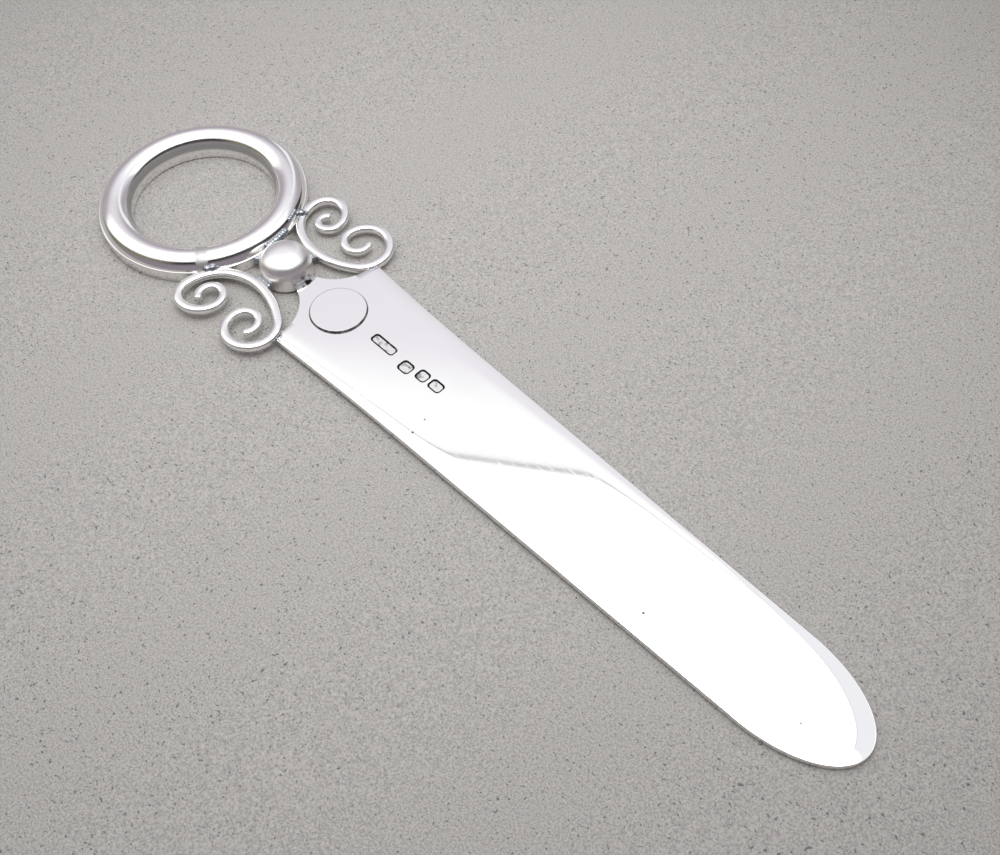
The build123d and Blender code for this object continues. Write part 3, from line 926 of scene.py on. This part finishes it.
class OPENER_OT_stage(bpy.types.Operator):
    """Sets the pale floor, the tent of light round it and the camera"""

    bl_idname = "opener.stage"
    bl_label = "Stage"
    FLOOR_SIZE = 12.0
    FLECK_SCALE = 4200
    DOT_SCALE = 2400
    FLECK_BUMP = 0.05 * MM
    FLECK_BUMP_STRENGTH = 0.4
    # Where the floor's painted light is brightest, and how its colour is painted darker away from there
    PAINTED_LIGHT_CENTRE = Vector((-30, 18, 0)) * MM
    PAINTED_FALLOFF_REACH = 204 * MM
    MOST_PAINTED_FALLOFF = 0.35
    KEY_PLACE = Vector((0.02, 0.04, 0.5))
    KEY_AIM = Vector((-0.02, 0, 0))
    KEY_SIZE = 0.35
    CLIP_START = 0.005
    # Bearings of the tent's dark opening and of its paler left part
    FRONT = radians(327)
    LEFT = radians(225)
    # The opening's upper edge, in degrees: its height in front, how far round it comes down, and its curve
    EDGE_HEIGHT = 62
    EDGE_REACH = 128
    EDGE_POWER = 2.2
    EDGE_BLUR = 1.5
    OPENING_SIDES = (131, 126)
    # Colours of the opening, of the sweep behind, of its seam, and of the strip of the tent's side
    DEEP = (0.014, 0.015, 0.01, 1)
    DEEP_LEFT = (0.2, 0.185, 0.13, 1)
    OPENING_FOOT = (0.25, 0.22, 0.26, 1)
    SWEEP_LOW = (0.42, 0.385, 0.43, 1)
    SWEEP_HIGH = (0.88, 0.87, 0.93, 1)
    SWEEP_TOP = (1.08, 1.08, 1.1, 1)
    SEAM = (0.32, 0.35, 0.39, 1)
    STRIP = (0.91, 0.92, 0.97, 1)
    STRIP_EDGE = (0.5, 0.52, 0.56, 1)
    # The knife lies on the ring and on the underside of the tip
    RING_REST = Vector((RING_HIGH.x, 0, RING_LOW.z))
    TIP_REST = Vector((BLADE_HIGH.x - 1 * MM, 0, BLADE_LOW.z))

    def floor(self, stage):
        run = self.TIP_REST - self.RING_REST
        tilt = -asin(run.z / run.length)
        bpy.ops.object.select_all(action="DESELECT")
        bpy.ops.mesh.primitive_plane_add(size=self.FLOOR_SIZE, location=self.RING_REST,
                                         rotation=(0, tilt, 0))
        floor = bpy.context.object
        bpy.ops.object.transform_apply(location=True, rotation=True, scale=True)
        floor.name = "floor"
        material, graph = new_material("floor_paper")
        place = graph.place()
        fleck = graph.noise(place, self.FLECK_SCALE, 3, 0.7)
        dots = graph.noise(place, self.DOT_SCALE, 1).ramp(0.67, 0.73)
        base = graph.mix(fleck.ramp(0.3, 0.72), tuple(stage.floor), tuple(stage.fleck))
        base = graph.mix(0.8 * dots, base, tuple(stage.dot))
        # Painted light: the floor's colour is darkened away from its brightest place, as a pool of light
        x, y, _ = graph.axes(place)
        east = (x - self.PAINTED_LIGHT_CENTRE.x) / self.PAINTED_FALLOFF_REACH
        north = (y - self.PAINTED_LIGHT_CENTRE.y) / self.PAINTED_FALLOFF_REACH
        fall = east * east + north * north
        base = graph.mix(fall.math("MINIMUM", fall, self.MOST_PAINTED_FALLOFF), base, (0, 0, 0, 1))
        normal = graph.bump(fleck, self.FLECK_BUMP, self.FLECK_BUMP_STRENGTH)
        shader = graph.node("ShaderNodeBsdfPrincipled", {},
                            {"Base Color": base, "Roughness": 0.9, "Specular IOR Level": 0.2,
                             "Normal": normal})
        graph.surface(shader)
        floor.data.materials.append(material)

    def tent(self, stage):
        """White above, a dark opening in front, a grey sweep behind and a strip of the tent's side."""
        world = bpy.data.worlds.new("tent")
        world.use_nodes = True
        bpy.context.scene.world = world
        graph = Graph(world.node_tree)
        direction = graph.node("ShaderNodeTexCoord", output="Generated")
        x, y, z = graph.axes(direction)
        level = z.math("ARCSINE", z) * (180 / pi)
        flat = distance(x, y)
        flat = flat.math("MAXIMUM", flat, 0.001)
        facing = (x * cos(self.FRONT) + y * sin(self.FRONT)) / flat
        aside = facing.math("ARCCOSINE", facing) * (180 / pi)
        edge = self.EDGE_HEIGHT * (1 - (aside / self.EDGE_REACH) ** self.EDGE_POWER)
        below = edge - level
        opening = below.ramp(-self.EDGE_BLUR, self.EDGE_BLUR) * aside.ramp(*self.OPENING_SIDES)
        leftward = (x * cos(self.LEFT) + y * sin(self.LEFT)) / flat
        deep = graph.mix(leftward.ramp(0.5, 0.8), self.DEEP, self.DEEP_LEFT)
        dark = graph.mix(below.ramp(10, 30), deep, self.OPENING_FOOT)
        back = graph.mix(level.ramp(20, 53), self.SWEEP_LOW, self.SWEEP_HIGH)
        # The seam between the sweep and the white above, which shows as the line across the blade
        seam = x * -0.72 + y - z * 0.8157
        back = graph.mix(seam.ramp(0.135, 0.05), back, self.SWEEP_TOP)
        rim = seam.ramp(0.006, 0.001) * seam.ramp(-0.003, 0.0)
        white = (stage.overhead, stage.overhead, stage.overhead, 1)
        bright = graph.mix(seam.ramp(0.001, -0.003), back, white)
        bright = graph.mix(rim * 0.8, bright, self.SEAM)
        # A thin grey strip of the tent's side, which shows along the blade's right edge and tip
        side = x + y - z * 0.395
        strip = side.ramp(-0.002, 0.002) * side.ramp(0.3, 0.25)
        bright = graph.mix(strip, bright, self.STRIP)
        strip_edge = side.ramp(-0.006, -0.001) * side.ramp(0.004, -0.001)
        bright = graph.mix(strip_edge * 0.7, bright, self.STRIP_EDGE)
        light = graph.mix(opening, bright, dark)
        sky = graph.node("ShaderNodeBackground", {}, {"Color": light, "Strength": 1.0})
        graph.surface(sky, "ShaderNodeOutputWorld")

    def key(self, stage):
        bpy.ops.object.light_add(type="AREA", location=self.KEY_PLACE)
        lamp = bpy.context.object
        lamp.name = "key"
        lamp.data.shape = "DISK"
        lamp.data.energy = stage.key
        lamp.data.size = self.KEY_SIZE
        lamp.rotation_euler = (self.KEY_PLACE - self.KEY_AIM).to_track_quat("Z", "Y").to_euler()

    def camera(self, stage):
        bpy.ops.object.camera_add(location=stage.camera_place, rotation=stage.camera_turn)
        camera = bpy.context.object
        camera.name = "camera"
        camera.data.lens = stage.lens
        camera.data.clip_start = self.CLIP_START
        bpy.context.scene.camera = camera

    def execute(self, context):
        stage = context.scene.opener_stage
        self.floor(stage)
        self.tent(stage)
        self.key(stage)
        self.camera(stage)
        context.scene.view_settings.view_transform = "Standard"
        return {"FINISHED"}


class OPENER_PT_panel(bpy.types.Panel):
    """Lists the opener's operators and values"""

    bl_label = "Letter opener"
    bl_space_type = "VIEW_3D"
    bl_region_type = "UI"
    bl_category = "Opener"

    def draw(self, context):
        for operator in OPERATORS:
            self.layout.operator(operator.bl_idname)
        for name in GROUPS:
            group = getattr(context.scene, name)
            for value in group.__annotations__:
                self.layout.prop(group, value)


GROUPS = {"opener_sizes": OpenerSizes, "opener_finish": OpenerFinish, "opener_stage": OpenerStage}
OPERATORS = (OPENER_OT_ring, OPENER_OT_boss, OPENER_OT_scrolls, OPENER_OT_blade, OPENER_OT_disc,
             OPENER_OT_solder, OPENER_OT_stage)
CLASSES = (*GROUPS.values(), *OPERATORS, OPENER_PT_panel)


def register():
    for cls in CLASSES:
        bpy.utils.register_class(cls)
    for name, group in GROUPS.items():
        setattr(bpy.types.Scene, name, bpy.props.PointerProperty(type=group))


def unregister():
    for name in GROUPS:
        delattr(bpy.types.Scene, name)
    for cls in reversed(CLASSES):
        bpy.utils.unregister_class(cls)


def main():
    register()
    bpy.ops.opener.ring()
    bpy.ops.opener.boss()
    bpy.ops.opener.scrolls()
    bpy.ops.opener.blade()
    bpy.ops.opener.disc()
    bpy.ops.opener.solder()
    bpy.ops.opener.stage()


if __name__ == "__main__":
    main()
